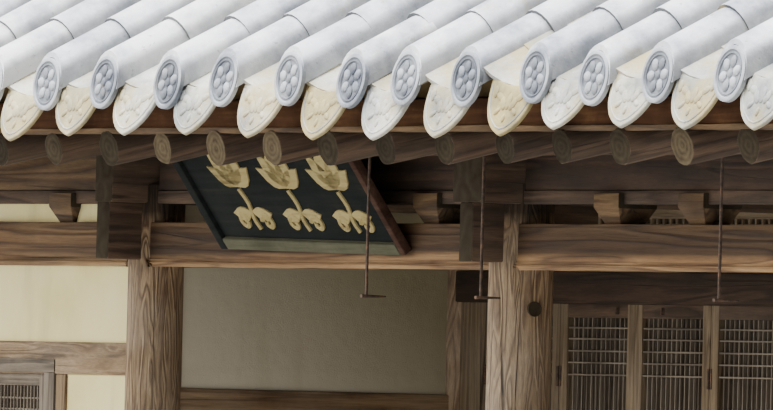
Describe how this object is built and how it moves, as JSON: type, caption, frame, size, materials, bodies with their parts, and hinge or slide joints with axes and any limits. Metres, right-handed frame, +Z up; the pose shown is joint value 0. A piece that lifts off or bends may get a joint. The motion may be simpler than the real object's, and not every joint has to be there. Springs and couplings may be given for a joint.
{
  "type": "hanok house",
  "caption": "Small Korean timber house with a tiled gable roof, an open porch with folding lattice doors and one walled room bay, on a stone platform",
  "frame": {"origin": "middle of the house's length and depth, on the level its stone platform stands on", "axes": "+X along the front to the right as seen from the front, +Y to the back, +Z up; the porch and its doors face -Y"},
  "size_m": [8.9906, 5.772, 5.075],
  "materials": {
    "stone": "hewn granite, weathered",
    "timber": "weathered pine with raised grain",
    "dark_timber": "dark aged pine",
    "plaster": "matt earth plaster, cream",
    "tile": "pale grey fired clay, matt",
    "iron": "forged, rust-dark",
    "lacquer": "green-black paint, worn",
    "floor_clay": "oiled paper over clay",
    "paper": "aged mulberry paper behind the lattice",
    "carving": "beige painted relief"
  },
  "bodies": {
    "house": {"stone_platform": "stone", "front_column_1": "timber", "front_column_2": "timber", "front_column_3": "timber", "front_column_4": "timber", "inner_column_2": "timber", "inner_column_3": "timber", "inner_column_4": "timber", "rear_column_1": "timber", "rear_column_2": "timber", "rear_column_3": "timber", "rear_column_4": "timber", "front_lintel_left": "timber", "front_lintel_middle": "timber", "front_lintel_right": "timber", "cross_beam_1": "dark_timber", "cross_beam_2": "dark_timber", "cross_beam_3": "dark_timber", "cross_beam_4": "dark_timber", "front_purlin": "dark_timber", "front_middle_purlin": "dark_timber", "ridge_purlin": "dark_timber", "rear_middle_purlin": "dark_timber", "rear_purlin": "dark_timber", "front_rafters": "dark_timber", "rear_rafters": "dark_timber", "roof_front_slope": "tile", "roof_rear_slope": "tile", "main_ridge": "tile", "left_verge_ridge": "tile", "right_verge_ridge": "tile", "left_gable_board": "timber", "right_gable_board": "timber", "left_gable_wall": "plaster", "right_gable_wall": "plaster", "front_left_wall": "plaster", "front_left_window": "timber", "left_side_wall": "plaster", "right_side_wall": "plaster", "porch_side_wall": "plaster", "rear_wall_left": "plaster", "rear_wall_middle": "plaster", "rear_wall_right": "plaster", "middle_door_frame": "timber", "middle_lattice_doors": "timber", "right_door_frame": "timber", "right_lattice_doors": "timber", "porch_floor": "timber", "room_floor": "floor_clay", "signboard": "lacquer"},
    "hook_left": {"door_hook_left": "iron"},
    "hook_middle": {"door_hook_middle": "iron"},
    "hook_right": {"door_hook_right": "iron"}
  },
  "joints": [
    {"name": "left_hook_swing", "type": "hinge", "parent": "house", "child": "hook_left", "pos_m": [1.252, -2.412, 2.86749], "axis": [1, 0, 0], "range_deg": [-60, 60]},
    {"name": "middle_hook_swing", "type": "hinge", "parent": "house", "child": "hook_middle", "pos_m": [1.878, -2.412, 2.86749], "axis": [1, 0, 0], "range_deg": [-60, 60]},
    {"name": "right_hook_swing", "type": "hinge", "parent": "house", "child": "hook_right", "pos_m": [3.13, -2.412, 2.86749], "axis": [1, 0, 0], "range_deg": [-60, 60]}
  ]
}
